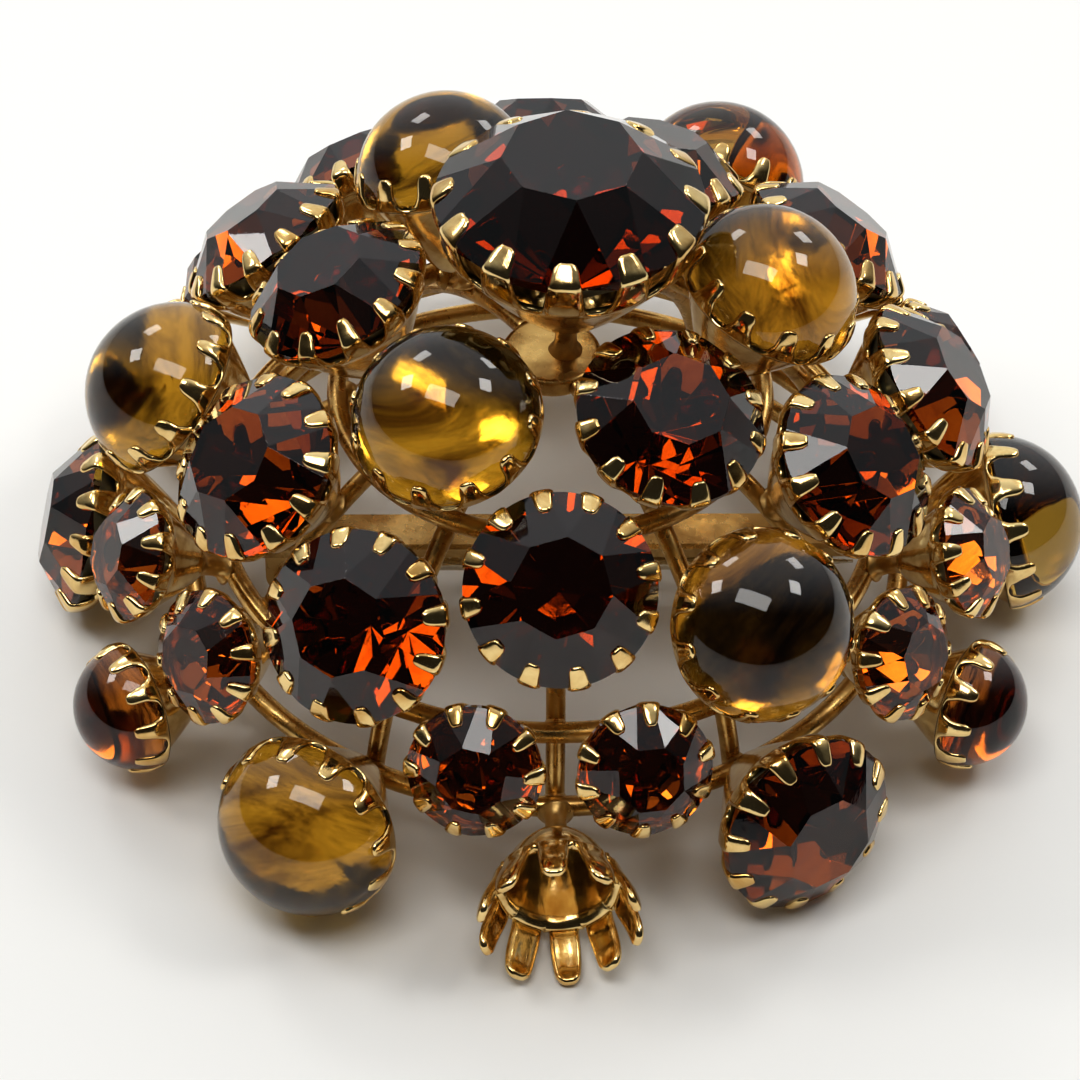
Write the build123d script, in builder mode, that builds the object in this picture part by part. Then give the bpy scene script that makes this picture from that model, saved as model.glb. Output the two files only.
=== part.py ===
from build123d import *
from math import cos, hypot, radians, sin, sqrt, tan
import os

# A high-domed, open-backed brooch: round glass stones in stamped claw cups, the cups standing on a
# birdcage of hoops and ribs, and across the open back a pin bar with a hinged pin stem and a rollover
# catch.  Millimetres.  The origin is on the pin stem's axis, straight under the top of the dome.
# +Z runs up through the dome, -Y is the front and the pin stem points along +X.
# An azimuth is counted from the front (-Y) towards +X.  A tilt is counted from +Z.

# ---------------------------------------------------------------- driving dimensions
# The dome: an ellipsoid that holds the girdle centres of all stones but the top one.
dome_radius = 28.2
dome_height = 27.0
base_height = -2.3  # the lowest cups rest on this plane
columns = 6
column_step = 360 / columns
first_column = -90  # azimuth of the first column; the gaps between columns lie half a step on

# Stones
top_stone_radius = 7.5
large_stone_radius = 5.25
small_stone_radius = 3.7
girdle = 0.24  # height of the plain band around a stone
table_ratio = 0.48  # table apothem over stone radius
crown_ratio = 0.42  # crown height over stone radius
pavilion_ratio = 0.93  # pavilion depth over stone radius
facet_count = 8  # in each ring of facets
facet_half_step = 180 / facet_count
cabochon_ratio = 0.88  # dome height over stone radius
cabochon_foot = 0.6  # depth of a cabochon below its girdle plane
top_girdle_height = 28.1
top_offset = 0.8  # the top cup is soldered on a little right of the axis

# Where each tier of girdles sits on the dome
upper_tilt = 24.6
shoulder_tilt = 41.6
middle_tilt = 50.0
pair_tilt = 63.0
pair_spread = 10.4  # azimuth of a small chaton either side of its gap
lower_tilt = 76.5
small_cabochon_height_tilt = 79.0  # these cups sit here but point almost level
small_cabochon_tilt = 86.0

# Claw cups, stamped from sheet
sheet = 0.32
play = 0.03  # between stone and collar
seat_drop = 0.65  # from the girdle plane down to the ledge that the stone rests on
ledge = 0.45
large_claws = 12
small_claws = 10
cup_depth_ratio = 1.15  # cup depth over stone radius
top_cup_depth = 8.9
well_ratio = 0.30  # radius of the closed end over stone radius
claw_reach = 0.95  # how far a claw bends in over a faceted crown
claw_gap = 0.08
claw_rise = 1.35  # how far a claw climbs a cabochon
claw_steps = 3
slot_ratio = 0.55  # slot width over claw pitch
slot_drop = 0.9  # from the girdle plane down to the middle of a slot's round end
splay = 0.6  # how far the empty cup's claws lean out
splayed_claw_height = 2.1
peg_radius = 0.6

# Frame wires.  Hoops lie on the outside of the ribs, and solder sinks each joint a little.
rib_wire = 0.55
hoop_wire = 0.6
solder = 0.15
hoop_depth = 6.55  # hoop centres, below the girdle plane of the stones above
rib_depth = hoop_depth + hoop_wire + rib_wire - solder
upper_hoop_tilt = 33.0
hub_tilt = 7.5
hub_thickness = 1.2

# Pin, hinge and catch
pin_wire = 0.5
pin_shaft_end = 11.5
pin_tip = 18.6
pin_tip_radius = 0.1
hinge_x = -15.5
eye_radius = 1.35
eye_width = 1.3
eye_clearance = 0.06
side_clearance = 0.05
rivet_radius = 0.5
rivet_play = 0.02
rivet_head_radius = 0.85
rivet_head_height = 0.35
ear_radius = 1.3
ear_thickness = 0.6
bracket_web = 0.35
bar_width = 3.0
bar_thickness = 0.9
bar_bottom = 1.9
catch_x = 15.5
catch_length = 2.6
catch_radius = 1.8
catch_bore = 1.3
catch_foot_width = 2.6
barrel_clearance = 0.05
barrel_bore = 0.62
flange_radius = 1.6
flange_thickness = 0.35
tab_angle = -50  # about +X, counted from +Y
tab_reach = 2.5
tab_width = 0.8


# ---------------------------------------------------------------- geometry shared by the tiers
def dome_point(tilt):
    """Distance from the axis and height over the dome's centre where the dome's normal has this tilt."""
    across = dome_radius * sin(radians(tilt))
    along = dome_height * cos(radians(tilt))
    size = hypot(across, along)
    return dome_radius * across / size, dome_height * along / size


# The shoulder of a lower cup's collar touches the base plane.
dome_centre = (
    base_height
    + (large_stone_radius + play + sheet) * sin(radians(lower_tilt))
    + (seat_drop + sheet) * cos(radians(lower_tilt))
    - dome_point(lower_tilt)[1]
)


def girdle_plane(azimuth, tilt, height_tilt=None):
    """Plane of a girdle: its normal points out of the dome and its X direction runs level."""
    distance, height = dome_point(tilt if height_tilt is None else height_tilt)
    turn = radians(azimuth)
    outward = Vector(sin(turn), -cos(turn), 0)
    normal = outward * sin(radians(tilt)) + Vector(0, 0, cos(radians(tilt)))
    centre = outward * distance + Vector(0, 0, height + dome_centre)
    return Plane(origin=centre, x_dir=(cos(turn), sin(turn), 0), z_dir=normal)


def below_dome(tilt, depth, height_tilt=None):
    """Point in the XZ half plane that lies this deep under the girdle plane of a tier."""
    distance, height = dome_point(tilt if height_tilt is None else height_tilt)
    inward = distance - depth * sin(radians(tilt))
    return inward, height + dome_centre - depth * cos(radians(tilt))


def column_azimuths():
    return [first_column + column_step * index for index in range(columns)]


def gap_azimuths():
    return [azimuth + column_step / 2 for azimuth in column_azimuths()]


# ---------------------------------------------------------------- stones
def facet_plane(angle, low, high):
    """Plane through a level line at low and one at high, each given as (apothem, height)."""
    turn = radians(angle)
    outward = Vector(cos(turn), sin(turn), 0)
    up_slope = outward * (high[0] - low[0]) + Vector(0, 0, high[1] - low[1])
    level = Vector(-sin(turn), cos(turn), 0)
    normal = level.cross(up_slope)
    if normal.dot(outward) < 0:
        normal = -normal
    return Plane(origin=outward * low[0] + Vector(0, 0, low[1]), z_dir=normal)


def chaton(radius):
    """Faceted stone on +Z, girdle plane at Z=0: octagonal table, sixteen crown and sixteen pavilion facets."""
    crown_top = girdle / 2 + crown_ratio * radius
    culet = -girdle / 2 - pavilion_ratio * radius
    table = table_ratio * radius
    table_corner = table / cos(radians(facet_half_step))
    pavilion_break = (0.45 * radius, culet + 0.36 * pavilion_ratio * radius)
    with BuildPart() as stone:
        with BuildSketch(Plane.XY.offset(culet)):
            Circle(radius)
        extrude(amount=crown_top - culet)
        for index in range(facet_count):
            angle = 2 * facet_half_step * index
            between = angle + facet_half_step
            crown_main = facet_plane(between, (radius, girdle / 2), (table, crown_top))
            crown_corner = facet_plane(angle, (radius, girdle / 2), (table_corner, crown_top))
            pavilion_main = facet_plane(between, (0, culet), (radius, -girdle / 2))
            pavilion_upper = facet_plane(angle, pavilion_break, (radius, -girdle / 2))
            for cut in (crown_main, crown_corner, pavilion_main, pavilion_upper):
                split(bisect_by=cut, keep=Keep.BOTTOM)
    return stone.part


def cabochon_ball(radius):
    """Radius of the ball that a cabochon's dome is cut from, and the height of its centre."""
    dome = cabochon_ratio * radius
    ball = (radius**2 + dome**2) / (2 * dome)
    return ball, dome - ball


def cabochon(radius):
    """High domed stone on +Z with a flat back, girdle plane at Z=0."""
    ball, centre = cabochon_ball(radius)
    with BuildPart() as stone:
        with Locations((0, 0, centre)):
            Sphere(ball)
        split(bisect_by=Plane.XY)
        with BuildSketch():
            Circle(radius)
        extrude(amount=-cabochon_foot)
    return stone.part


# ---------------------------------------------------------------- claw cups
def chaton_claw(radius):
    """Inner line of a claw that lies on a faceted crown."""
    corner_radius = table_ratio * radius / cos(radians(facet_half_step))
    slope = crown_ratio * radius / (radius - corner_radius)
    tip_height = girdle / 2 + claw_reach * slope + claw_gap * hypot(1, slope)
    return [(radius + play, girdle), (radius - claw_reach, tip_height)]


def cabochon_claw(radius):
    """Inner line of a claw that climbs the side of a cabochon."""
    ball, centre = cabochon_ball(radius)
    heights = [claw_rise * (step + 0.5) / (claw_steps - 0.5) for step in range(claw_steps)]
    return [(sqrt(ball**2 - (height - centre) ** 2) + claw_gap, height) for height in heights]


def splayed_claw(radius):
    """Inner line of a claw left leaning out when its stone was lost."""
    bend = (radius + splay, splayed_claw_height - girdle)
    return [(radius + play, 0), bend, (radius + splay + play, splayed_claw_height)]


def sheet_outline(inner):
    """Closed outline of a sheet whose inner side is this line; the metal lies to its right."""
    normals = []
    for start, end in zip(inner, inner[1:]):
        run = hypot(end[0] - start[0], end[1] - start[1])
        normals.append(((end[1] - start[1]) / run, (start[0] - end[0]) / run))
    outer = []
    for point, before, after in zip(inner, normals[:1] + normals, normals + normals[-1:]):
        reach = sheet / (1 + before[0] * after[0] + before[1] * after[1])
        outer.append((point[0] + reach * (before[0] + after[0]), point[1] + reach * (before[1] + after[1])))
    return inner + outer[::-1]


def claw_cup(radius, claws, claw_line, depth, peg_end):
    """Cup on +Z for a stone of this radius, girdle plane at Z=0, its peg ending peg_end below."""
    well = well_ratio * radius
    bowl = [
        (0, sheet - depth),
        (well, sheet - depth),
        (radius - ledge, -seat_drop),
        (radius + play, -seat_drop),
    ]
    slot = slot_ratio * 2 * radius * tan(radians(180 / claws))
    slot_length = radius
    with BuildPart() as cup:
        with BuildSketch(Plane.XZ):
            with BuildLine():
                Polyline(*sheet_outline(bowl + claw_line), close=True)
            make_face()
        revolve(axis=Axis.Z)
        with PolarLocations(radius, claws, start_angle=180 / claws):
            with Locations((0, 0, -slot_drop)):
                Box(slot_length, slot, 2 * radius, align=(Align.CENTER, Align.CENTER, Align.MIN), mode=Mode.SUBTRACT)
                Cylinder(slot / 2, slot_length, rotation=(0, 90, 0), mode=Mode.SUBTRACT)
        with BuildSketch(Plane.XY.offset(-depth)):
            Circle(peg_radius)
        extrude(amount=depth - peg_end)
    return cup.part


# ---------------------------------------------------------------- frame
def bent_wire(points, wire):
    """Round wire through these points of the XZ plane."""
    with BuildPart() as rod:
        with BuildLine(Plane.XZ) as path:
            Spline(*points)
        with BuildSketch(Plane(origin=path.line @ 0, z_dir=path.line % 0)):
            Circle(wire)
        sweep()
    return rod.part


def export(part, name):
    part.label = name
    export_step(part, f"parts/{name}.step", write_pcurves=False)


os.makedirs("parts", exist_ok=True)
rib_peg = rib_depth - rib_wire + solder
hoop_peg = hoop_depth - hoop_wire + solder
large_depth = cup_depth_ratio * large_stone_radius
small_depth = cup_depth_ratio * small_stone_radius
large_claw = {"chaton": chaton_claw(large_stone_radius), "cabochon": cabochon_claw(large_stone_radius)}
large_stone = {"chaton": chaton(large_stone_radius), "cabochon": cabochon(large_stone_radius)}
small_chaton = chaton(small_stone_radius)
small_cabochon = cabochon(small_stone_radius)

# ---------------------------------------------------------------- top setting and hub
hub_radius, hub_height = below_dome(hub_tilt, rib_depth)
hub_top = hub_height + hub_thickness / 2
top_plane = Plane.XY.offset(top_girdle_height).move(Location((top_offset, 0, 0)))
top_peg = top_girdle_height - hub_top + solder
top_chaton = chaton(top_stone_radius)
top_cup_blank = claw_cup(top_stone_radius, large_claws, chaton_claw(top_stone_radius), top_cup_depth, top_peg)

with BuildPart() as top_stone:
    with Locations(top_plane):
        add(top_chaton)
export(top_stone.part, "top_stone")

with BuildPart() as top_cup:
    with Locations(top_plane):
        add(top_cup_blank)
export(top_cup.part, "top_cup")

with BuildPart() as hub:
    with BuildSketch(Plane.XY.offset(hub_top)):
        Circle(hub_radius)
    extrude(amount=-hub_thickness)
    fillet(hub.edges().filter_by(GeomType.CIRCLE), hub_thickness / 4)
export(hub.part, "hub")

# ---------------------------------------------------------------- tiers of large stones
alternating = ["chaton", "cabochon"] * (columns // 2)
swapped = ["cabochon", "chaton"] * (columns // 2)
plain = ["chaton"] * columns
large_tiers = [
    ("upper", upper_tilt, column_azimuths(), alternating, rib_peg),
    ("shoulder", shoulder_tilt, gap_azimuths(), plain, rib_peg),
    ("middle", middle_tilt, column_azimuths(), swapped, rib_peg),
    ("lower", lower_tilt, column_azimuths(), alternating, hoop_peg),
]
for tier, tilt, azimuths, kinds, peg_end in large_tiers:
    blanks = {
        kind: claw_cup(large_stone_radius, large_claws, large_claw[kind], large_depth, peg_end)
        for kind in set(kinds)
    }
    with BuildPart() as tier_cups:
        for azimuth, kind in zip(azimuths, kinds):
            with Locations(girdle_plane(azimuth, tilt)):
                add(blanks[kind])
    export(tier_cups.part, f"{tier}_cups")
    for index, (azimuth, kind) in enumerate(zip(azimuths, kinds), start=1):
        with BuildPart() as tier_stone:
            with Locations(girdle_plane(azimuth, tilt)):
                add(large_stone[kind])
        export(tier_stone.part, f"{tier}_{kind}_{index}")

# ---------------------------------------------------------------- pairs of small chatons
pair_blank = claw_cup(small_stone_radius, small_claws, chaton_claw(small_stone_radius), small_depth, hoop_peg)
pair_planes = [
    [girdle_plane(azimuth - pair_spread, pair_tilt), girdle_plane(azimuth + pair_spread, pair_tilt)]
    for azimuth in gap_azimuths()
]

with BuildPart() as small_chaton_cups:
    for pair in pair_planes:
        with Locations(*pair):
            add(pair_blank)
export(small_chaton_cups.part, "small_chaton_cups")

for index, pair in enumerate(pair_planes, start=1):
    with BuildPart() as stone_pair:
        with Locations(*pair):
            add(small_chaton)
    export(stone_pair.part, f"small_chaton_pair_{index}")

# ---------------------------------------------------------------- small cabochons, the front one lost
hoop_radius, base_hoop_height = below_dome(lower_tilt, hoop_depth)
small_cabochon_depth = dome_point(small_cabochon_height_tilt)[0] - hoop_radius - hoop_wire + solder
small_cabochon_planes = [
    girdle_plane(azimuth, small_cabochon_tilt, small_cabochon_height_tilt) for azimuth in gap_azimuths()
]
front = min(range(columns), key=lambda index: small_cabochon_planes[index].origin.Y)
front_plane = small_cabochon_planes.pop(front)
small_cup_blank = claw_cup(
    small_stone_radius, small_claws, cabochon_claw(small_stone_radius), small_depth, small_cabochon_depth
)
empty_cup_blank = claw_cup(
    small_stone_radius, small_claws, splayed_claw(small_stone_radius), small_depth, small_cabochon_depth
)

with BuildPart() as small_cabochon_cups:
    with Locations(*small_cabochon_planes):
        add(small_cup_blank)
export(small_cabochon_cups.part, "small_cabochon_cups")

with BuildPart() as empty_cup:
    with Locations(front_plane):
        add(empty_cup_blank)
export(empty_cup.part, "empty_cup")

for index, plane in enumerate(small_cabochon_planes, start=1):
    with BuildPart() as small_stone:
        with Locations(plane):
            add(small_cabochon)
    export(small_stone.part, f"small_cabochon_{index}")

# ---------------------------------------------------------------- hoops and ribs
hoop_places = {
    "upper_hoop": below_dome(upper_hoop_tilt, hoop_depth),
    "middle_hoop": below_dome(pair_tilt, hoop_depth),
    "base_hoop": (hoop_radius, base_hoop_height),
}
for name, place in hoop_places.items():
    with BuildPart() as hoop:
        with BuildSketch(Plane.XZ):
            with Locations(place):
                Circle(hoop_wire)
        revolve(axis=Axis.Z)
    export(hoop.part, name)

column_tilts = (hub_tilt, upper_tilt, middle_tilt, pair_tilt, lower_tilt, lower_tilt + 2)
gap_tilts = (upper_hoop_tilt - 2, shoulder_tilt, pair_tilt, lower_tilt, lower_tilt + 2)
column_rib = bent_wire([below_dome(tilt, rib_depth) for tilt in column_tilts], rib_wire)
gap_rib = bent_wire([below_dome(tilt, rib_depth) for tilt in gap_tilts], rib_wire)

with BuildPart() as column_ribs:
    with PolarLocations(0, columns):
        add(column_rib)
export(column_ribs.part, "column_ribs")

with BuildPart() as gap_ribs:
    with PolarLocations(0, columns, start_angle=column_step / 2):
        add(gap_rib)
export(gap_ribs.part, "gap_ribs")

# ---------------------------------------------------------------- pin bar and hinge
bar_reach = below_dome(lower_tilt, rib_depth)[0] - rib_wire + solder
hinge_plane = Plane(origin=(hinge_x, 0, 0), x_dir=(1, 0, 0), z_dir=(0, -1, 0))
ear_inside = eye_width / 2 + side_clearance
ear_outside = ear_inside + ear_thickness

with BuildPart() as pin_bar:
    with BuildSketch(Plane.XY.offset(bar_bottom)):
        Rectangle(2 * bar_reach, bar_width)
    extrude(amount=bar_thickness)
    fillet(pin_bar.edges().filter_by(Axis.Z), bar_width / 4)
    chamfer(pin_bar.faces().sort_by(Axis.Z)[-1].edges(), bar_thickness / 4)
export(pin_bar.part, "pin_bar")

with BuildPart() as hinge_bracket:
    with BuildSketch(hinge_plane):
        Circle(ear_radius)
        with Locations((0, bar_bottom / 2)):
            Rectangle(2 * ear_radius, bar_bottom)
    extrude(amount=ear_outside, both=True)
    with BuildSketch(hinge_plane):
        with Locations((0, -bracket_web)):
            Rectangle(4 * ear_radius, 2 * bar_bottom)
    extrude(amount=ear_inside, both=True, mode=Mode.SUBTRACT)
    with BuildSketch(hinge_plane):
        Circle(rivet_radius + rivet_play)
    extrude(amount=ear_outside, both=True, mode=Mode.SUBTRACT)
export(hinge_bracket.part, "hinge_bracket")

with BuildPart() as hinge_rivet:
    rivet_end = ear_outside + rivet_play
    with BuildSketch(hinge_plane):
        Circle(rivet_radius)
    extrude(amount=rivet_end, both=True)
    with BuildSketch(hinge_plane.offset(rivet_end), hinge_plane.offset(-rivet_end - rivet_head_height)):
        Circle(rivet_head_radius)
    extrude(amount=rivet_head_height)
    rims = hinge_rivet.edges().filter_by(GeomType.CIRCLE).sort_by(Axis.Y)
    fillet([rims[0], rims[-1]], rivet_head_height / 2)
export(hinge_rivet.part, "hinge_rivet")

with BuildPart() as pin_stem:
    with BuildSketch(hinge_plane):
        Circle(eye_radius)
    extrude(amount=eye_width / 2, both=True)
    with BuildSketch(Plane.XZ):
        with BuildLine():
            Polyline(
                (hinge_x, 0),
                (hinge_x, pin_wire),
                (pin_shaft_end, pin_wire),
                (pin_tip, pin_tip_radius),
                (pin_tip, 0),
                close=True,
            )
        make_face()
    revolve(axis=Axis.X)
    with BuildSketch(hinge_plane):
        Circle(rivet_radius + eye_clearance)
    extrude(amount=eye_width, both=True, mode=Mode.SUBTRACT)
export(pin_stem.part, "pin_stem")

# ---------------------------------------------------------------- rollover catch
catch_plane = Plane(origin=(catch_x, 0, 0), x_dir=(0, 1, 0), z_dir=(1, 0, 0))
barrel_radius = catch_bore - barrel_clearance
barrel_half = catch_length / 2 + side_clearance

with BuildPart() as catch_body:
    with BuildSketch(catch_plane):
        Circle(catch_radius)
        with Locations((0, bar_bottom / 2)):
            Rectangle(catch_foot_width, bar_bottom)
        Circle(catch_bore, mode=Mode.SUBTRACT)
        with Locations((0, -catch_radius)):
            Rectangle(2 * barrel_bore, 2 * catch_radius, mode=Mode.SUBTRACT)
    extrude(amount=catch_length / 2, both=True)
export(catch_body.part, "catch_body")

with BuildPart() as catch_barrel:
    with BuildSketch(catch_plane):
        Circle(barrel_radius)
    extrude(amount=barrel_half, both=True)
    with BuildSketch(catch_plane.offset(-barrel_half - flange_thickness), catch_plane.offset(barrel_half)):
        Circle(flange_radius)
    extrude(amount=flange_thickness)
    with BuildSketch(catch_plane.offset(barrel_half)):
        with Locations(Location((0, 0, 0), (0, 0, tab_angle))):
            with Locations((tab_reach / 2, 0)):
                SlotOverall(tab_reach, tab_width)
    extrude(amount=flange_thickness)
    with BuildSketch(catch_plane):
        Circle(barrel_bore)
        with Locations((0, -flange_radius)):
            Rectangle(2 * barrel_bore, 2 * flange_radius)
    extrude(amount=2 * barrel_half, both=True, mode=Mode.SUBTRACT)
export(catch_barrel.part, "catch_barrel")
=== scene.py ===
import bmesh
import bpy
import math
import random
from mathutils import Matrix, Vector, noise


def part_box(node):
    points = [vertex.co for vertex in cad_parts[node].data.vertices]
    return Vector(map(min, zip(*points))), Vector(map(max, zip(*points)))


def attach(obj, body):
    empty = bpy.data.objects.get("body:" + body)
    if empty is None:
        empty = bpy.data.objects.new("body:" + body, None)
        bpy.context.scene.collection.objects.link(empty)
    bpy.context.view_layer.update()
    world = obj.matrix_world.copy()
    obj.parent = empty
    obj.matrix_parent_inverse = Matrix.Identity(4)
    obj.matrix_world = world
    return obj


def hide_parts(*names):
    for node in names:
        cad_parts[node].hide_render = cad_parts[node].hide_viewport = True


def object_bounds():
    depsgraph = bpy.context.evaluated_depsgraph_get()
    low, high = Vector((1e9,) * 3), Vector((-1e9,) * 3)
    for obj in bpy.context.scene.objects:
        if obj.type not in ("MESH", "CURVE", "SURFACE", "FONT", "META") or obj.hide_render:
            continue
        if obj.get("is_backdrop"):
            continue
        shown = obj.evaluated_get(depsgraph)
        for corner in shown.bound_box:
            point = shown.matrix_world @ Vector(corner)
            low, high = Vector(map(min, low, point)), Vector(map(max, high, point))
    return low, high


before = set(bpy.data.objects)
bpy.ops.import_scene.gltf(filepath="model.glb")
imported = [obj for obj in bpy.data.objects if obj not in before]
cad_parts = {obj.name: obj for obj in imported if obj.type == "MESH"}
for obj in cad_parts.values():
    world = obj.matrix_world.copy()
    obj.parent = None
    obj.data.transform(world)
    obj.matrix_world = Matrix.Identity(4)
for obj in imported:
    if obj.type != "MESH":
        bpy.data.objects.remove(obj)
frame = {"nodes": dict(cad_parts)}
cad_low, cad_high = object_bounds()
MM = 0.001
MM_PER_METRE = 1000
seeded = random.Random(7)

# ---- proportions of the stones and cups; a ratio is a share of the stone's radius
GIRDLE = 0.24 * MM
CROWN_RATIO = 0.42
TABLE_RATIO = 0.48
PAVILION_RATIO = 0.93
CABOCHON_RATIO = 0.88
CABOCHON_FOOT = 0.6 * MM
CUP_DEPTH_RATIO = 1.15
TOP_CUP_DEPTH = 8.2 * MM
SMALL_RADIUS = 4 * MM
TOP_RADIUS = 6 * MM
LARGE_CLAWS = 12
SMALL_CLAWS = 10
FACETS = 8
HALF_STEP = math.pi / FACETS
BROKEN_FACET_HEIGHT = 0.36
FOILED_BELOW = -0.15
TOP_STONE_TURN = 0.04
PEG_RADIUS = 0.7 * MM
PEG_REACH = 12 * MM


# ---- node materials
class Shade:
    """A node material built by short calls; inputs may be values or sockets."""

    def __init__(self, name):
        self.material = bpy.data.materials.new(name)
        self.material.use_nodes = True
        self.tree = self.material.node_tree
        self.tree.nodes.clear()
        self.output = self.tree.nodes.new("ShaderNodeOutputMaterial")

    def node(self, kind, inputs=None, **settings):
        """A new node with its inputs linked or set."""
        made = self.tree.nodes.new(kind)
        for key, value in settings.items():
            setattr(made, key, value)
        for key, value in (inputs or {}).items():
            if isinstance(value, bpy.types.NodeSocket):
                self.tree.links.new(value, made.inputs[key])
            else:
                made.inputs[key].default_value = value
        return made

    def coordinates(self, stretch=(1, 1, 1)):
        """Object coordinates, shifted differently on every piece."""
        place = self.node("ShaderNodeTexCoord").outputs["Object"]
        shift = self.node("ShaderNodeObjectInfo").outputs["Random"]
        moved = self.node("ShaderNodeVectorMath", {0: place, 1: shift}, operation="ADD")
        inputs = {0: moved.outputs[0], 1: stretch}
        return self.node("ShaderNodeVectorMath", inputs, operation="MULTIPLY").outputs[0]

    def noise(self, scale, detail=3.0, roughness=0.5, distortion=0.0, stretch=(1, 1, 1)):
        """Noise with its scale in cycles per metre."""
        inputs = {"Vector": self.coordinates(stretch), "Scale": scale, "Detail": detail}
        inputs.update({"Roughness": roughness, "Distortion": distortion})
        return self.node("ShaderNodeTexNoise", inputs).outputs["Fac"]

    def ramp(self, value, low, high, to_low=0.0, to_high=1.0):
        """A value mapped from one range to another, clamped."""
        inputs = {"Value": value, "From Min": low, "From Max": high, "To Min": to_low, "To Max": to_high}
        return self.node("ShaderNodeMapRange", inputs).outputs["Result"]

    def mix(self, factor, first, second):
        """A colour between two colours."""
        made = self.node("ShaderNodeMix", data_type="RGBA")
        for socket, value in ((made.inputs[0], factor), (made.inputs[6], first), (made.inputs[7], second)):
            if isinstance(value, bpy.types.NodeSocket):
                self.tree.links.new(value, socket)
            elif isinstance(value, tuple):
                socket.default_value = (*value, 1.0)
            else:
                socket.default_value = value
        return made.outputs[2]

    def bump(self, height, distance, strength=1.0, under=None):
        """A bumped normal, on top of another one if that is given."""
        inputs = {"Height": height, "Distance": distance, "Strength": strength}
        if under:
            inputs["Normal"] = under
        return self.node("ShaderNodeBump", inputs).outputs["Normal"]

    def finish(self, surface, volume=None):
        """Join the shaders to the output and give the material."""
        self.tree.links.new(surface, self.output.inputs["Surface"])
        if volume:
            self.tree.links.new(volume, self.output.inputs["Volume"])
        return self.material


def metal(name, bright, dull, smooth, worn):
    """Polished metal with soft tarnish patches, hairline scratches and a slightly rippled face."""
    shade = Shade(name)
    patches = shade.ramp(shade.noise(420, 4.0, 0.6, 0.4), 0.42, 0.68)
    hairlines = shade.noise(1500, 2.0, 0.6, 0.2, (9, 1, 1.3))
    ripple = shade.noise(900, 2.0)
    colour = shade.mix(patches, bright, dull)
    roughness = shade.ramp(shade.noise(700, 3.0, 0.6), 0.35, 0.7, smooth, worn)
    normal = shade.bump(ripple, 0.05 * MM, 0.5)
    normal = shade.bump(hairlines, 0.008 * MM, 0.45, normal)
    inputs = {"Base Color": colour, "Metallic": 1.0, "Roughness": roughness, "Normal": normal}
    return shade.finish(shade.node("ShaderNodeBsdfPrincipled", inputs).outputs["BSDF"])


def glass_body(shade, pale, deep, density):
    """Absorption that makes thick glass dark; it differs a little from stone to stone."""
    pick = shade.node("ShaderNodeObjectInfo").outputs["Random"]
    colour = shade.mix(pick, pale, deep)
    return shade.node("ShaderNodeVolumeAbsorption", {"Color": colour, "Density": density}).outputs["Volume"]


def faceted_glass(name, tint, pale, deep, density):
    """Foiled glass with fine polishing lines and a few rubs, tinted at its surface and by depth."""
    shade = Shade(name)
    lines = shade.noise(1300, 2.0, 0.6, 0.0, (1, 5, 1))
    rubs = shade.ramp(shade.noise(900, 5.0, 0.7), 0.6, 0.75, 0.0, 0.10)
    normal = shade.bump(lines, 0.003 * MM, 0.06)
    inputs = {"Base Color": (*tint, 1), "Transmission Weight": 1.0, "IOR": 1.58}
    inputs.update({"Roughness": rubs, "Normal": normal})
    glass = shade.node("ShaderNodeBsdfPrincipled", inputs).outputs["BSDF"]
    return shade.finish(glass, glass_body(shade, pale, deep, density))


def foil(name, bright, dark, back, smooth, worn, streak, low, high, crinkle):
    """Metal foil on the inside of a stone's back; from outside it shows its grey-green lacquer."""
    shade = Shade(name)
    streaks = shade.ramp(shade.noise(streak, 4.0, 0.6, 1.6, (1, 2.2, 1)), low, high)
    colour = shade.mix(streaks, dark, bright)
    rough = shade.ramp(shade.noise(1200, 3.0), 0.3, 0.7, smooth, worn)
    normal = shade.bump(shade.noise(900, 3.0, 0.6), crinkle * MM, 0.5)
    inputs = {"Base Color": colour, "Metallic": 1.0, "Roughness": rough, "Normal": normal}
    inside = shade.node("ShaderNodeBsdfPrincipled", inputs).outputs["BSDF"]
    lacquer = shade.mix(streaks, back, tuple(0.6 * part for part in back))
    inputs = {"Base Color": lacquer, "Roughness": 0.35}
    outside = shade.node("ShaderNodeBsdfPrincipled", {**inputs, "Metallic": 0.55}).outputs["BSDF"]
    side = shade.node("ShaderNodeNewGeometry").outputs["Backfacing"]
    return shade.finish(shade.node("ShaderNodeMixShader", {0: side, 1: outside, 2: inside}).outputs[0])


def domed_glass(name, tint, pale, deep, density):
    """Domed glass with a slightly uneven pressed surface, tinted at its surface and by depth."""
    shade = Shade(name)
    normal = shade.bump(shade.noise(260, 2.0), 0.04 * MM, 0.5)
    marks = shade.ramp(shade.noise(1500, 5.0, 0.7), 0.62, 0.8, 0.0, 0.06)
    inputs = {"Base Color": (*tint, 1), "Transmission Weight": 1.0, "IOR": 1.52}
    inputs.update({"Roughness": marks, "Normal": normal})
    glass = shade.node("ShaderNodeBsdfPrincipled", inputs).outputs["BSDF"]
    return shade.finish(glass, glass_body(shade, pale, deep, density))


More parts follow.
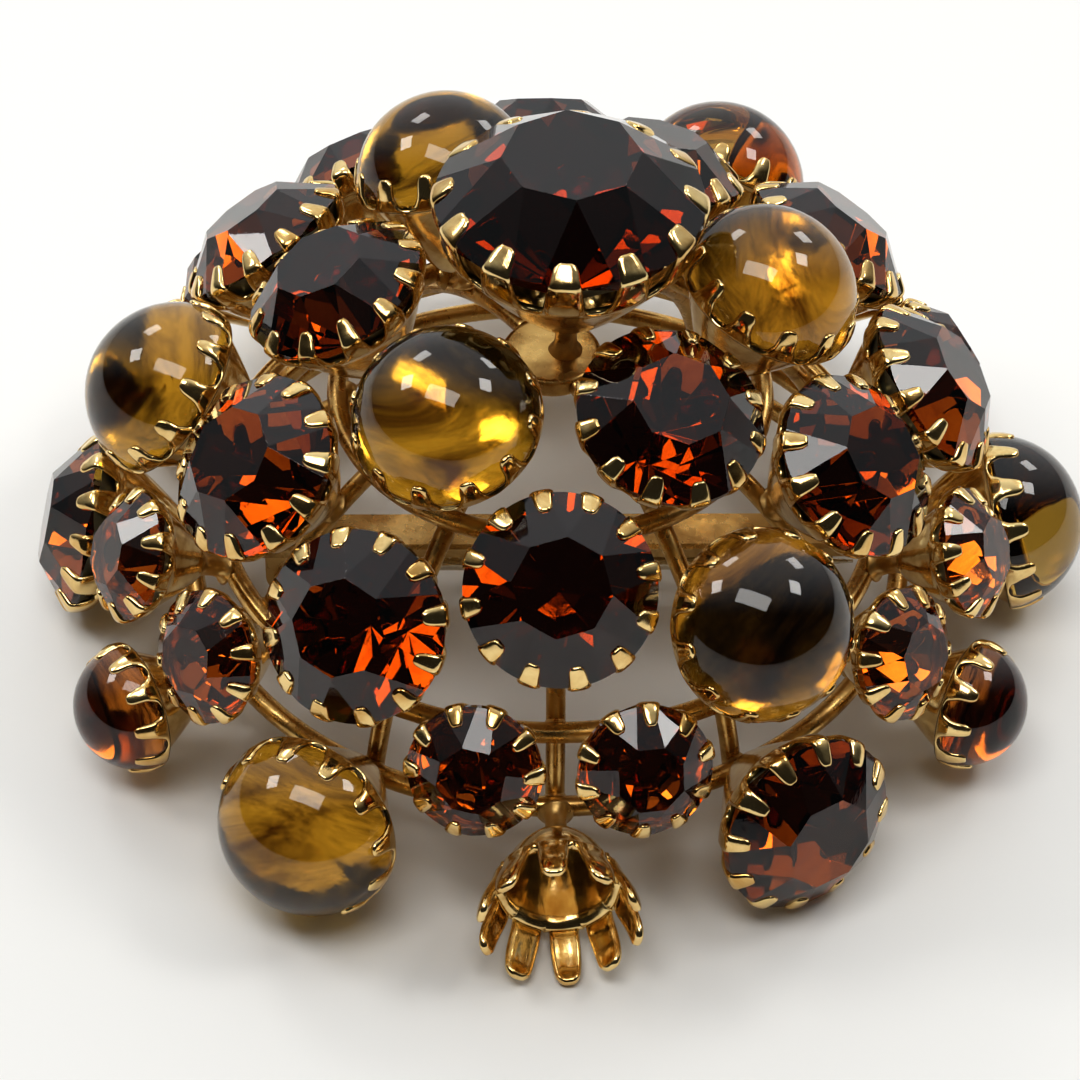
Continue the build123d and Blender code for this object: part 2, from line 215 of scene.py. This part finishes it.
gold_cup = metal("cup_gold", (0.88, 0.66, 0.31), (0.60, 0.35, 0.11), 0.09, 0.20)
# the frame's gold is a darker copy of the cups' gold: painted shade for the shaded inside of the dome
gold_frame_painted_shade = metal("frame_gold_painted_shade", (0.70, 0.46, 0.17), (0.38, 0.21, 0.07), 0.20, 0.38)
gold_fitting = metal("fitting_gold", (0.66, 0.45, 0.19), (0.38, 0.22, 0.08), 0.20, 0.38)
gold_solder = metal("solder_gold", (0.74, 0.50, 0.20), (0.36, 0.21, 0.08), 0.26, 0.46)
pin_metal = metal("pin_steel", (0.74, 0.68, 0.55), (0.42, 0.34, 0.22), 0.16, 0.34)
crown_glass = faceted_glass(
    "amber_glass", (0.78, 0.42, 0.16), pale=(0.82, 0.68, 0.42), deep=(0.76, 0.59, 0.36), density=400
)
chaton_foil = foil(
    "amber_foil", (0.95, 0.72, 0.42), (0.80, 0.52, 0.24), (0.16, 0.17, 0.13),
    smooth=0.01, worn=0.035, streak=300, low=0.30, high=0.60, crinkle=0.002,
)
cabochon_glass = domed_glass(
    "honey_glass", (0.86, 0.66, 0.24), pale=(0.78, 0.70, 0.36), deep=(0.71, 0.58, 0.30), density=260
)
small_cabochon_glass = domed_glass(
    "tawny_glass", (0.88, 0.56, 0.24), pale=(0.84, 0.66, 0.38), deep=(0.78, 0.56, 0.32), density=340
)
cabochon_foil = foil(
    "honey_foil", (1.0, 0.80, 0.40), (0.16, 0.08, 0.025), (0.18, 0.17, 0.12),
    smooth=0.08, worn=0.22, streak=150, low=0.34, high=0.62, crinkle=0.03,
)


# ---- reading the CAD
# normals that round alike belong to one side; the shift keeps plain directions off a rounding edge
NORMAL_STEPS = 997
STEP_SHIFT = 0.123


def loose_parts(node):
    """Faces of each separate solid of a CAD node, in a fixed order."""
    mesh = bmesh.new()
    mesh.from_mesh(frame["nodes"][node].data)
    bmesh.ops.remove_doubles(mesh, verts=mesh.verts, dist=1e-6)
    seen = set()
    parts = []
    for start in mesh.faces:
        if start in seen:
            continue
        seen.add(start)
        stack = [start]
        part = []
        while stack:
            face = stack.pop()
            part.append(face)
            for edge in face.edges:
                for other in edge.link_faces:
                    if other not in seen:
                        seen.add(other)
                        stack.append(other)
        parts.append(part)
    return mesh, parts


def flat_side(faces):
    """Normal and centre of the largest flat side."""
    sides = {}
    for face in faces:
        area = face.calc_area()
        key = tuple(round(NORMAL_STEPS * part + STEP_SHIFT) for part in face.normal)
        total, normal, centre = sides.get(key, (0.0, Vector(), Vector()))
        moment = face.calc_center_median() * area
        sides[key] = (total + area, normal + face.normal * area, centre + moment)
    total, normal, centre = max(sides.values(), key=lambda side: side[0])
    return normal.normalized(), centre / total


def stone_places(node):
    """Frame matrix (girdle plane at Z=0) and radius of each stone in a CAD node."""
    mesh, parts = loose_parts(node)
    places = []
    for part in parts:
        normal, centre = flat_side(part)
        domed = "cabochon" in node
        axis = -normal if domed else normal
        points = [vert.co.copy() for face in part for vert in face.verts]
        radius = max((point - centre - axis * (point - centre).dot(axis)).length for point in points)
        lift = CABOCHON_FOOT if domed else -(GIRDLE / 2 + CROWN_RATIO * radius)
        level = Vector((0, 0, 1)).cross(axis)
        across = level.normalized() if level.length > 0.01 else Vector((1, 0, 0))
        turn = Matrix((across, axis.cross(across), axis)).transposed().to_4x4()
        places.append((Matrix.Translation(centre + axis * lift) @ turn, radius))
    mesh.free()
    return places


def peg_end(node, place):
    """How far below the girdle plane a cup's peg ends in the CAD."""
    inverse = place.inverted()
    lowest = 0.0
    for vert in frame["nodes"][node].data.vertices:
        local = inverse @ vert.co
        if math.hypot(local.x, local.y) < PEG_RADIUS and local.z > -PEG_REACH:
            lowest = min(lowest, local.z)
    return -lowest


# ---- making pieces
def piece(name, mesh, place, materials, stands_for, smooth=True):
    """A named object on the setting's body that may stand for a CAD node."""
    data = bpy.data.meshes.new(name)
    mesh.to_mesh(data)
    mesh.free()
    for material in materials:
        data.materials.append(material)
    for polygon in data.polygons:
        polygon.use_smooth = smooth
    made = bpy.data.objects.new(name, data)
    bpy.context.scene.collection.objects.link(made)
    made.matrix_world = place
    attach(made, "setting")
    if stands_for:
        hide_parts(stands_for)
    return made


def cut(mesh, point, outward):
    """Slice off what lies beyond a plane and close the hole."""
    geometry = mesh.verts[:] + mesh.edges[:] + mesh.faces[:]
    result = bmesh.ops.bisect_plane(
        mesh, geom=geometry, dist=1e-8, plane_co=point, plane_no=outward, clear_outer=True
    )
    edges = [item for item in result["geom_cut"] if isinstance(item, bmesh.types.BMEdge)]
    if len(edges) > 2:
        bmesh.ops.contextual_create(mesh, geom=edges)


def chaton_mesh(radius):
    """Faceted stone, a little uneven: crown and girdle in glass, pavilion in foil."""
    crown_top = GIRDLE / 2 + CROWN_RATIO * radius
    culet = -GIRDLE / 2 - PAVILION_RATIO * radius
    table = TABLE_RATIO * radius
    corner = table / math.cos(HALF_STEP)
    mesh = bmesh.new()
    middle = Matrix.Translation((0, 0, (crown_top + culet) / 2))
    depth = crown_top - culet
    bmesh.ops.create_cone(
        mesh, cap_ends=True, segments=80, radius1=radius, radius2=radius, depth=depth, matrix=middle
    )
    break_height = culet + BROKEN_FACET_HEIGHT * PAVILION_RATIO * radius
    for index in range(FACETS):
        for offset, low, high in (
            (HALF_STEP, (1.025 * radius, GIRDLE / 2), (table, crown_top)),
            (0.0, (0.990 * radius, GIRDLE / 2), (corner, crown_top)),
            (HALF_STEP, (0.0, culet), (1.02 * radius, -GIRDLE / 2)),
            (0.0, (0.45 * radius, break_height), (0.985 * radius, -GIRDLE / 2)),
        ):
            turn = 2 * HALF_STEP * index + offset + math.radians(seeded.uniform(-0.9, 0.9))
            outward = Vector((math.cos(turn), math.sin(turn), 0))
            rise = high[1] - low[1]
            run = high[0] - low[0]
            normal = outward * rise + Vector((0, 0, -run))
            point = outward * high[0] + Vector((0, 0, high[1]))
            point += outward * radius * seeded.uniform(-0.006, 0.004)
            cut(mesh, point, normal.normalized())
    for face in mesh.faces:
        face.normal_update()
        face.material_index = 1 if face.normal.z < FOILED_BELOW else 0
    return mesh


def add_stone(node, name, place, radius, kind):
    """One stone, turned about its own axis."""
    turn = seeded.uniform(0, 2 * HALF_STEP)
    turned = place @ Matrix.Rotation(TOP_STONE_TURN if node == "top_stone" else turn, 4, "Z")
    if kind == "chaton":
        materials = (crown_glass, chaton_foil)
        made = piece(name, chaton_mesh(radius), turned, materials, node, smooth=False)
        bevel = made.modifiers.new("worn_edges", "BEVEL")
        bevel.width = 0.03 * MM
        bevel.segments = 2
        bevel.limit_method = "ANGLE"
        bevel.angle_limit = math.radians(7)
    else:
        glass = small_cabochon_glass if radius < SMALL_RADIUS else cabochon_glass
        piece(name, cabochon_mesh(radius), turned, (glass, cabochon_foil), node)


def ring(mesh, radius, height, steps):
    """A circle of new vertices."""
    turns = [2 * math.pi * step / steps for step in range(steps)]
    return [mesh.verts.new((radius * math.cos(turn), radius * math.sin(turn), height)) for turn in turns]


def bridge(mesh, lower, upper, material=0):
    """Faces between two closed rows of vertices."""
    for index in range(len(lower)):
        after = (index + 1) % len(lower)
        face = mesh.faces.new((lower[index], lower[after], upper[after], upper[index]))
        face.material_index = material


def cap(mesh, rim, height, upward, material=0):
    """A fan of faces that closes a row of vertices at one point on the axis."""
    tip = mesh.verts.new((0, 0, height))
    for index in range(len(rim)):
        after = (index + 1) % len(rim)
        corners = (rim[index], rim[after], tip) if upward else (rim[after], rim[index], tip)
        mesh.faces.new(corners).material_index = material


def cabochon_mesh(radius):
    """Domed stone whose flat back carries crinkled foil."""
    dome = CABOCHON_RATIO * radius
    ball = (radius**2 + dome**2) / (2 * dome)
    centre = dome - ball
    start = math.asin(-centre / ball)
    steps = 96
    dome_rows = 22
    back_rows = 18
    mesh = bmesh.new()
    rings = []
    shift = Vector((seeded.uniform(0, 9), seeded.uniform(0, 9), seeded.uniform(0, 9)))
    for row in range(1, back_rows + 1):
        rings.append(ring(mesh, radius * row / back_rows, -CABOCHON_FOOT, steps))
    for row in range(dome_rows):
        tilt = start + (math.pi / 2 - start) * row / dome_rows
        rings.append(ring(mesh, ball * math.cos(tilt), centre + ball * math.sin(tilt), steps))
    cap(mesh, rings[0], -CABOCHON_FOOT, False, 1)
    for index, (lower, upper) in enumerate(zip(rings, rings[1:])):
        bridge(mesh, lower, upper, 1 if index < back_rows - 1 else 0)
    cap(mesh, rings[-1], dome, True)
    for vert in mesh.verts:
        spread = math.hypot(vert.co.x, vert.co.y) / radius
        place = vert.co * MM_PER_METRE + shift
        if vert.co.z < -0.99 * CABOCHON_FOOT:
            crease = noise.noise(place * 0.28) + 0.10 * abs(noise.noise(place * 1.6))
            vert.co.z += (1 - spread**4) * 0.26 * crease * MM
        else:
            vert.co += vert.co.normalized() * noise.noise(place * 0.25) * 0.03 * MM
    return mesh


# ---- claw cups
SHEET = 0.48 * MM
CLAW_SPLIT = (-1, -0.34, 0.34, 1)
GAP_SPLIT = (0.3, 0.7)
TOP_ROOT_DEPTH = 2.7 * MM
ROOT_DEPTH_RATIO = 0.27
NOTCH_DIP = 0.14 * MM
# share of the claw's length, share of the root width
CLAW_TAPER = ((0.05, 0.66), (0.28, 0.65), (0.60, 0.63), (0.86, 0.52), (1.0, 0.26))
OPEN_CLAW_TAPER = ((0.0, 0.95), (0.25, 0.88), (0.5, 0.80), (0.75, 0.72), (0.9, 0.60), (1.0, 0.32))


def claw_line(radius, kind, reach, root):
    """Inner line of a claw from its root upwards as (distance, height, share of the root width)."""
    if kind == "empty":
        line = [(radius + 0.02 * MM, -0.50 * MM, 0.97)]
        for part, width in OPEN_CLAW_TAPER:
            flare = reach * math.sin(1.9 * part) * 0.80
            line.append((radius + 0.10 * MM + flare, 2.75 * MM * part + 0.05 * MM, width))
        return line
    if kind == "chaton":
        line = [
            (radius - 0.08 * root, -0.74 * root, 0.94),
            (radius + 0.10 * MM, -0.38 * root, 0.82),
            (radius + 0.20 * MM, -0.06 * root, 0.74),
            (radius + 0.20 * MM, 0.18 * MM, 0.70),
        ]
        slope = CROWN_RATIO / (1 - TABLE_RATIO / math.cos(HALF_STEP))
        gap = 0.10 * MM * math.hypot(1, slope)
        for part, width in CLAW_TAPER:
            inward = part * reach
            height = GIRDLE / 2 + inward * slope + gap + 0.16 * MM * (1 - part)
            line.append((radius - inward, height, width))
        return line
    line = [(radius + 0.12 * MM, -0.02 * MM, 0.84), (radius + 0.14 * MM, 0.16 * MM, 0.72)]
    dome = CABOCHON_RATIO * radius
    ball = (radius**2 + dome**2) / (2 * dome)
    centre = dome - ball
    for part, width in CLAW_TAPER:
        height = 0.34 * MM + part * (reach + 0.10 * MM)
        dome_edge = math.sqrt(ball**2 - (height - centre) ** 2)
        line.append((dome_edge + (0.14 - 0.06 * part) * MM, height, width))
    return line


def bowl_line(radius, kind, depth, roundness, root):
    """Inner line of the cup from the closed end up to where the notches begin."""
    well = 0.30 * radius
    floor_edge = -depth + 0.05 * radius
    line = [(0.10 * radius, -depth), (0.20 * radius, -depth + 0.01 * radius), (well, floor_edge)]
    top = (radius - 0.50 * MM, -0.80 * MM)
    if kind == "chaton":
        top = (radius - 0.24 * root - 0.36 * MM, -root - 0.10 * MM)
    for part in (0.12, 0.3, 0.5, 0.7, 0.88, 1.0):
        bulge = roundness * math.sin(math.pi * part) * radius
        distance = well + (top[0] - well) * part + bulge
        line.append((distance, floor_edge + (top[1] - floor_edge) * part - 0.4 * bulge))
    if kind == "chaton":
        return line + [(radius - 0.17 * root - 0.10 * MM, -0.92 * root)]
    line.append((radius - 0.36 * MM, -0.66 * MM))
    line.append((radius - 0.08 * MM, -0.63 * MM))
    if kind == "empty":
        return line
    return line + [(radius + 0.07 * MM, -0.54 * MM), (radius + 0.10 * MM, -0.38 * MM)]


def cup_mesh(radius, claws, kind, depth, roundness, width_share, root_depth):
    """Stamped sheet cup: closed bowl, seat, and claws parted by round notches."""
    mesh = bmesh.new()
    pitch = 2 * math.pi / claws
    half = width_share * pitch / 2
    offsets = [part * half for part in CLAW_SPLIT]
    offsets += [half + part * (pitch - 2 * half) for part in GAP_SPLIT]
    columns = len(CLAW_SPLIT)
    rows = []
    bowl = bowl_line(radius, kind, depth, roundness, root_depth)
    for distance, height in bowl:
        row = []
        for claw in range(claws):
            for column, offset in enumerate(offsets):
                turn = claw * pitch + offset
                dip = NOTCH_DIP if column >= columns and height == bowl[-1][1] else 0.0
                reach = distance - (dip if kind == "chaton" else 0.0)
                corner = (reach * math.cos(turn), reach * math.sin(turn), height - dip)
                row.append(mesh.verts.new(corner))
        rows.append(row)
    tip = mesh.verts.new((0, 0, -depth - 0.02 * MM))
    for index, vert in enumerate(rows[0]):
        mesh.faces.new((rows[0][(index + 1) % len(rows[0])], vert, tip))
    for lower, upper in zip(rows, rows[1:]):
        bridge(mesh, lower, upper)
    for claw in range(claws):
        root = claw * len(offsets)
        before = rows[-1][root:root + columns]
        reach = (1.0 + seeded.uniform(-0.16, 0.12)) * (0.62 * MM + 0.075 * radius)
        lean = seeded.uniform(-0.12, 0.12) * half
        lift = seeded.uniform(0.0, 0.07) * MM
        stretch = 1 + seeded.uniform(-0.07, 0.07)
        line = claw_line(radius, kind, reach, root_depth)
        for step, (distance, height, width) in enumerate(line):
            part = step / (len(line) - 1)
            row = []
            for column in CLAW_SPLIT:
                turn = claw * pitch + column * half * width * stretch + lean * part
                crown = 0.07 * MM * (1 - abs(column)) * (1 if step > 2 else 0)
                away = distance + lift * part + crown
                row.append(mesh.verts.new((away * math.cos(turn), away * math.sin(turn), height)))
            for column in range(columns - 1):
                mesh.faces.new((before[column], before[column + 1], row[column + 1], row[column]))
            before = row
    return mesh


def add_cup(node, name, place, radius, claws, kind, depth, roundness=0.02, width_share=0.68):
    """One cup, turned about its stone's axis; the sheet's thickness lies outside the drawn line."""
    turned = place @ Matrix.Rotation(seeded.uniform(0, 2 * math.pi / claws), 4, "Z")
    root_depth = TOP_ROOT_DEPTH if radius > TOP_RADIUS else ROOT_DEPTH_RATIO * radius
    mesh = cup_mesh(radius, claws, kind, depth, roundness, width_share, root_depth)
    made = piece(name, mesh, turned, (gold_cup,), node)
    shell = made.modifiers.new("sheet", "SOLIDIFY")
    shell.thickness = SHEET
    shell.offset = -1
    rounded = made.modifiers.new("rounded", "SUBSURF")
    rounded.levels = 1
    rounded.render_levels = 1


# share of the peg's length, radius in mm
PEG_PROFILE = (
    (0.0, 0.95), (0.12, 0.72), (0.3, 0.62), (0.6, 0.60), (0.82, 0.68), (0.94, 0.95), (1.0, 1.05)
)


def add_peg(node, name, place, depth):
    """Round peg under a cup, waisted, with a soldered foot."""
    mesh = bmesh.new()
    length = peg_end(node, place) - depth + 0.05 * MM
    top = -depth + 0.1 * MM
    rings = [ring(mesh, wide * MM, top - part * length, 28) for part, wide in PEG_PROFILE]
    shift = seeded.uniform(0, 50)
    for lower, upper in zip(rings[1:], rings):
        bridge(mesh, lower, upper)
    cap(mesh, rings[0], top, True)
    cap(mesh, rings[-1], -depth - length + 0.05 * MM, False)
    for vert in mesh.verts:
        sway = noise.noise(vert.co * 1400 + Vector((shift, 0, 0)))
        vert.co.x *= 1 + 0.09 * sway
        vert.co.y *= 1 + 0.09 * sway
    piece(name, mesh, place, (gold_solder,), node)


# ---- every stone with its cup
def is_stone(node):
    return "cup" not in node and any(word in node for word in ("chaton", "cabochon", "top_stone"))


back_place = None
for node in sorted(filter(is_stone, frame["nodes"])):
    for number, (place, radius) in enumerate(stone_places(node)):
        kind = "cabochon" if "cabochon" in node else "chaton"
        small = radius < SMALL_RADIUS
        name = node if "pair" not in node else f"{node}_{'ab'[number]}"
        add_stone(node, f"{name}_glass", place, radius, kind)
        if node == "top_stone":
            cups = "top_cup"
        elif small:
            cups = "small_cabochon_cups" if kind == "cabochon" else "small_chaton_cups"
        else:
            cups = node.split("_")[0] + "_cups"
        depth = TOP_CUP_DEPTH if node == "top_stone" else CUP_DEPTH_RATIO * radius
        claws = SMALL_CLAWS if small else LARGE_CLAWS
        add_cup(cups, f"{name}_cup", place, radius, claws, kind, depth)
        add_peg(cups, f"{name}_peg", place, depth)
        if cups == "small_cabochon_cups":
            if back_place is None or place.translation.y > back_place.translation.y:
                back_place = place
                empty_radius = radius

# the empty cup at the front stands opposite the small cabochon at the back
empty_place = Matrix.Rotation(math.pi, 4, "Z") @ back_place
empty_depth = CUP_DEPTH_RATIO * empty_radius
add_cup(
    "empty_cup", "empty_claw_cup", empty_place, empty_radius, SMALL_CLAWS, "empty", empty_depth,
    roundness=0.09, width_share=0.84,
)
add_peg("empty_cup", "empty_peg", empty_place, empty_depth)


RIBS = 12


def add_solder_beads():
    """Uneven drops of solder where the hoops cross the ribs and where the bar meets them."""
    mesh = bmesh.new()
    spots = []
    for hoop in ("base_hoop", "middle_hoop", "upper_hoop"):
        low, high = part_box(hoop)
        wire = (high.z - low.z) / 2
        away = high.x - 1.8 * wire
        level = (low.z + high.z) / 2 - 0.4 * wire
        for step in range(RIBS):
            turn = 2 * math.pi * step / RIBS
            spots.append(Vector((away * math.cos(turn), away * math.sin(turn), level)))
    low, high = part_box("pin_bar")
    for side in (-1, 1):
        for edge in (-0.7, 0.7):
            spots.append(Vector((side * (high.x - 0.2 * MM), edge * high.y, high.z - 0.2 * MM)))
    for spot in spots:
        size = seeded.uniform(0.62, 0.88) * MM
        made = bmesh.ops.create_icosphere(mesh, subdivisions=3, radius=size)
        for vert in made["verts"]:
            wave = 1 + 0.22 * noise.noise((vert.co + spot) * 1100)
            vert.co = spot + Vector((vert.co.x * wave, vert.co.y * wave, vert.co.z * wave * 0.85))
    piece("solder_beads", mesh, Matrix.Identity(4), (gold_solder,), None)


add_solder_beads()


# ---- CAD pieces that stay
def keep(names, material, width):
    """Leave CAD nodes in place, with a material and small edge bevels."""
    for name in names:
        node = frame["nodes"][name]
        node.data.materials.clear()
        node.data.materials.append(material)
        weld = node.modifiers.new("weld", "WELD")
        weld.merge_threshold = 0.002 * MM
        edge = node.modifiers.new("edges", "BEVEL")
        edge.width = width
        edge.segments = 2
        edge.limit_method = "ANGLE"
        edge.angle_limit = math.radians(40)


keep(("base_hoop", "middle_hoop", "upper_hoop", "column_ribs", "gap_ribs", "hub"), gold_frame_painted_shade, 0.08 * MM)
keep(("pin_bar", "hinge_bracket", "hinge_rivet", "catch_body", "catch_barrel"), gold_fitting, 0.08 * MM)
keep(("pin_stem",), pin_metal, 0.05 * MM)


# ---- floor, light and camera
floor_shade = Shade("paper")
grain = floor_shade.noise(900, 4.0, 0.6)
tint = floor_shade.mix(floor_shade.noise(6, 2.0), (0.89, 0.88, 0.855), (0.86, 0.855, 0.835))
paper_inputs = {"Base Color": tint, "Roughness": 0.7, "Normal": floor_shade.bump(grain, 0.02 * MM, 0.4)}
paper = floor_shade.finish(floor_shade.node("ShaderNodeBsdfPrincipled", paper_inputs).outputs["BSDF"])
FLOOR_HALF_SIDE = 1.2
sheet_mesh = bmesh.new()
bmesh.ops.create_grid(sheet_mesh, x_segments=2, y_segments=2, size=FLOOR_HALF_SIDE)
floor_data = bpy.data.meshes.new("floor")
sheet_mesh.to_mesh(floor_data)
sheet_mesh.free()
floor_data.materials.append(paper)
floor = bpy.data.objects.new("floor", floor_data)
bpy.context.scene.collection.objects.link(floor)
floor.location = (0, 0, cad_low.z)
floor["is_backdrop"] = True

# the surroundings are bright behind and above the object and dark towards the camera
world = bpy.data.worlds.new("studio")
bpy.context.scene.world = world
world.use_nodes = True
tree = world.node_tree
tree.nodes.clear()
direction = tree.nodes.new("ShaderNodeTexCoord")
facing = tree.nodes.new("ShaderNodeVectorMath")
facing.operation = "DOT_PRODUCT"
facing.inputs[1].default_value = (0.0, 0.75, 0.66)
spread = tree.nodes.new("ShaderNodeMapRange")
spread.interpolation_type = "SMOOTHSTEP"
spread.inputs["From Min"].default_value = 0.1
spread.inputs["From Max"].default_value = 1.0
spread.inputs["To Min"].default_value = 0.03
spread.inputs["To Max"].default_value = 1.0
ground = tree.nodes.new("ShaderNodeBackground")
ground.inputs["Color"].default_value = (0.95, 0.98, 1.0, 1)
shown = tree.nodes.new("ShaderNodeOutputWorld")
tree.links.new(direction.outputs["Generated"], facing.inputs[0])
tree.links.new(facing.outputs["Value"], spread.inputs["Value"])
tree.links.new(spread.outputs["Result"], ground.inputs["Strength"])
tree.links.new(ground.outputs["Background"], shown.inputs["Surface"])

AIM = Vector((-0.37 * MM, 0, 1.86 * MM))
LAMP_DISTANCE = 0.6
# name, direction, width and height in degrees, radiance
SOFTBOXES = (
    ("ceiling", (-0.12, -0.26, 0.95), 36, 17, 5.7),
    ("left", (-0.68, 0.21, 0.70), 14, 12, 9.5),
    ("right", (0.61, 0.10, 0.785), 14, 12, 9.5),
    ("back_left", (-0.37, 0.65, 0.66), 13, 11, 6.5),
    ("back_right", (0.55, 0.60, 0.57), 12, 11, 6.5),
)
for name, toward, wide, high, radiance in SOFTBOXES:
    data = bpy.data.lights.new(name, "AREA")
    data.shape = "RECTANGLE"
    data.size = 2 * LAMP_DISTANCE * math.tan(math.radians(wide / 2))
    data.size_y = 2 * LAMP_DISTANCE * math.tan(math.radians(high / 2))
    data.energy = radiance * math.pi * data.size * data.size_y
    data.color = (1.0, 0.985, 0.96)
    lamp = bpy.data.objects.new(name, data)
    bpy.context.scene.collection.objects.link(lamp)
    back = Vector(toward).normalized()
    lamp.location = AIM + back * LAMP_DISTANCE
    lamp.rotation_euler = back.to_track_quat("Z", "Y").to_euler()

CAMERA_DISTANCE = 220.4 * MM
CAMERA_LENS = 122.5
turn = math.radians(-2.38)
lift = math.radians(44.77)
roll = math.radians(1.51)
back = Vector((math.sin(turn) * math.cos(lift), -math.cos(turn) * math.cos(lift), math.sin(lift)))
right = Vector((math.cos(turn), math.sin(turn), 0))
up = back.cross(right)
rolled_right = right * math.cos(roll) + up * math.sin(roll)
rolled_up = up * math.cos(roll) - right * math.sin(roll)
facing_matrix = Matrix((rolled_right, rolled_up, back)).transposed().to_4x4()
lens_data = bpy.data.cameras.new("camera")
lens_data.sensor_width = 36
lens_data.lens = CAMERA_LENS
lens_data.clip_start = 0.01
camera = bpy.data.objects.new("camera", lens_data)
bpy.context.scene.collection.objects.link(camera)
camera.matrix_world = Matrix.Translation(AIM + back * CAMERA_DISTANCE) @ facing_matrix
bpy.context.scene.camera = camera
bpy.context.scene.view_settings.view_transform = "Standard"
bpy.context.scene.view_settings.look = "Medium High Contrast"
bpy.context.scene.view_settings.exposure = -0.18

low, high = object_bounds()
